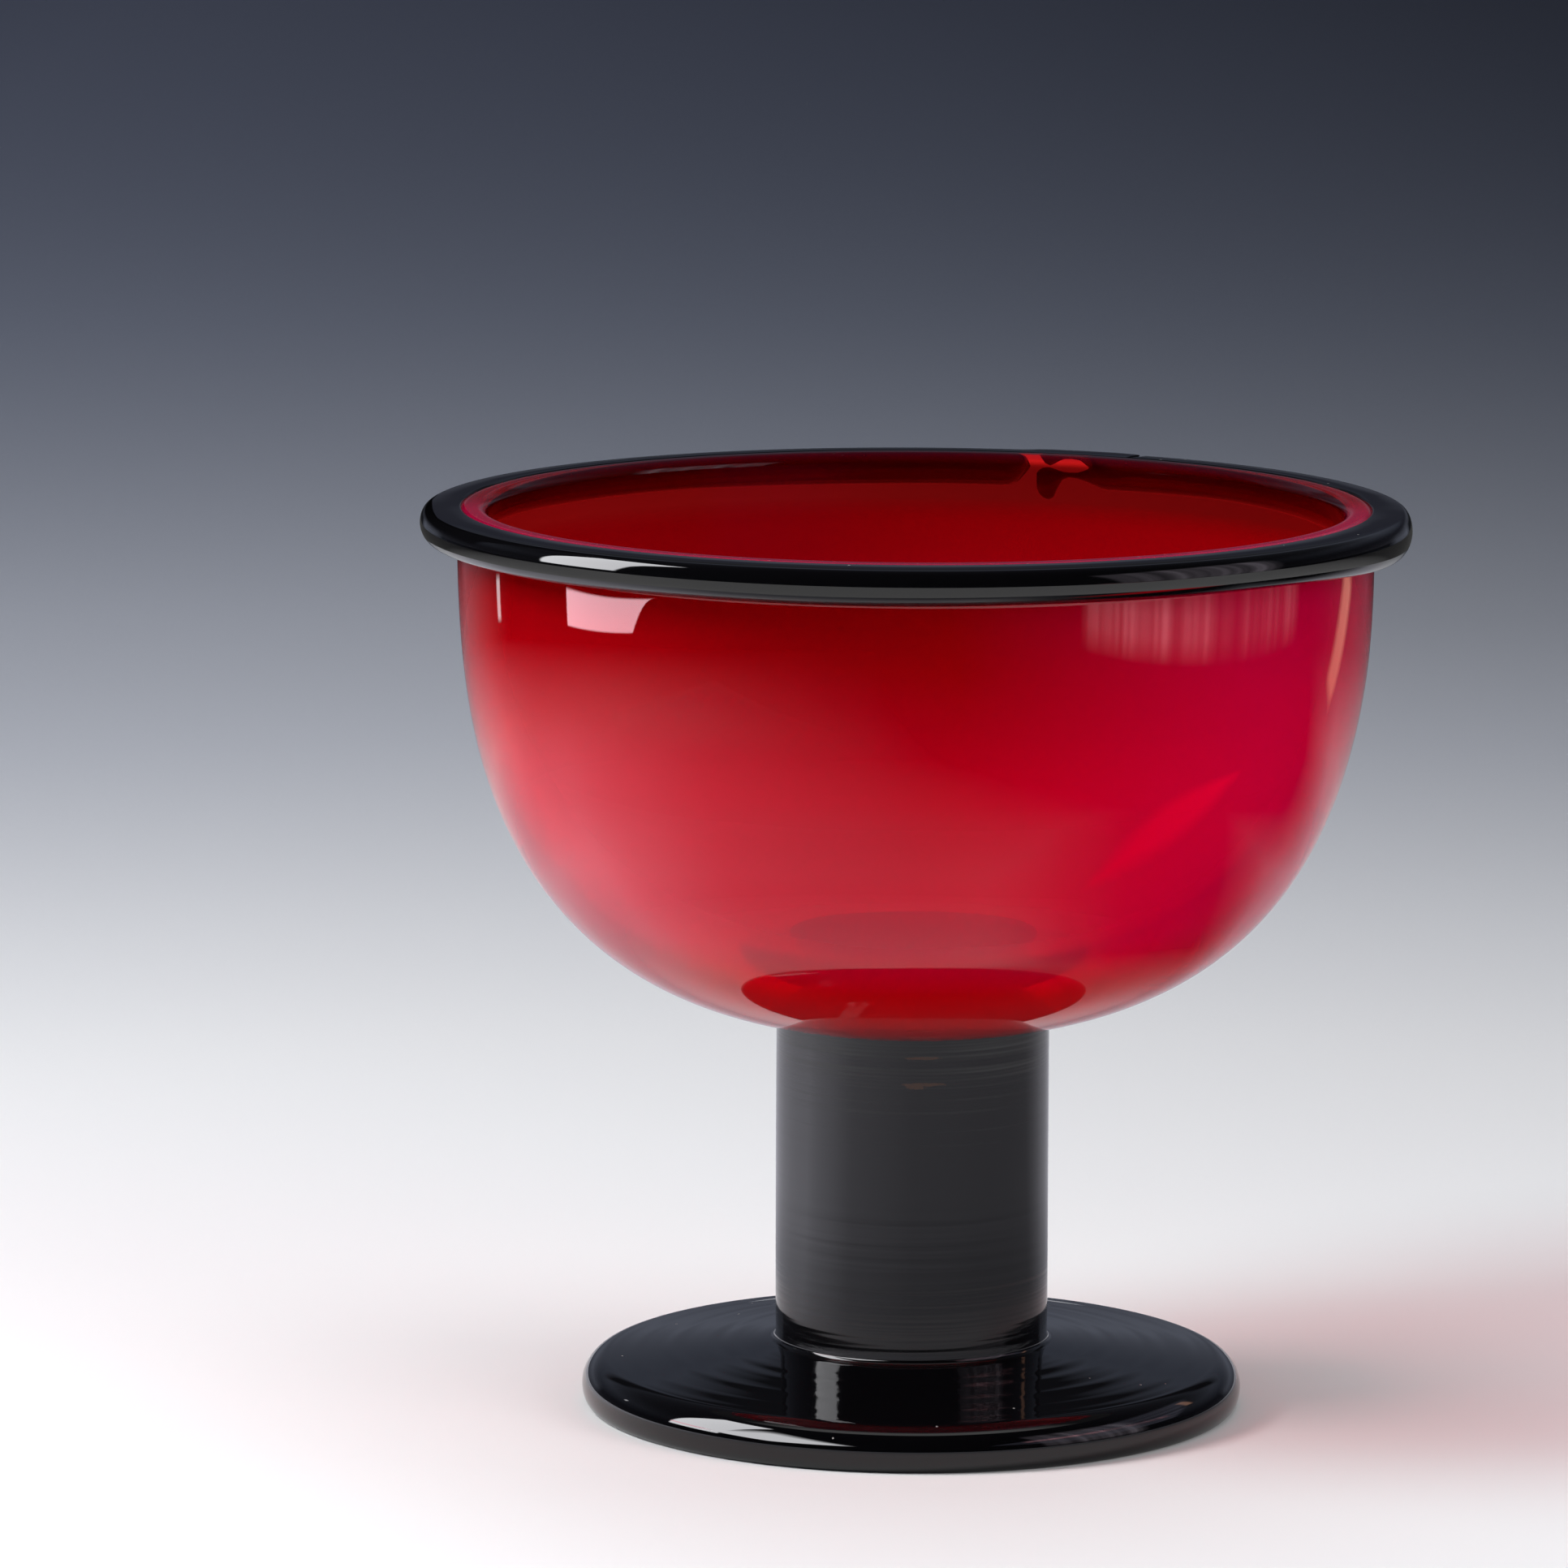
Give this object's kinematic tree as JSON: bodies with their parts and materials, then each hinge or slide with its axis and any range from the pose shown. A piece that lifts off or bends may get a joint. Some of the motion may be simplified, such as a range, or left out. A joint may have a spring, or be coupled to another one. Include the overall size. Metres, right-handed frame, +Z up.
{
  "type": "footed glass bowl",
  "caption": "Footed bowl of blown glass: a deep open cup with a trail round its lip, on a round stem and a disc foot.",
  "frame": {"origin": "middle of the circle that the foot rests on", "axes": "+Z up along the bowl's axis; -Y faces the viewer of the picture, +X is the viewer's right"},
  "size_m": [0.26, 0.2601, 0.24],
  "materials": {
    "clear_red_glass": "fire-polished, see-through",
    "black_trail_glass": "fire-polished",
    "black_stem_glass": "fire-polished",
    "black_foot_glass": "fire-polished, with faint rings from turning"
  },
  "bodies": {
    "root": {"cup": "clear_red_glass", "lip_trail": "black_trail_glass", "stem": "black_stem_glass", "foot": "black_foot_glass"}
  },
  "joints": []
}
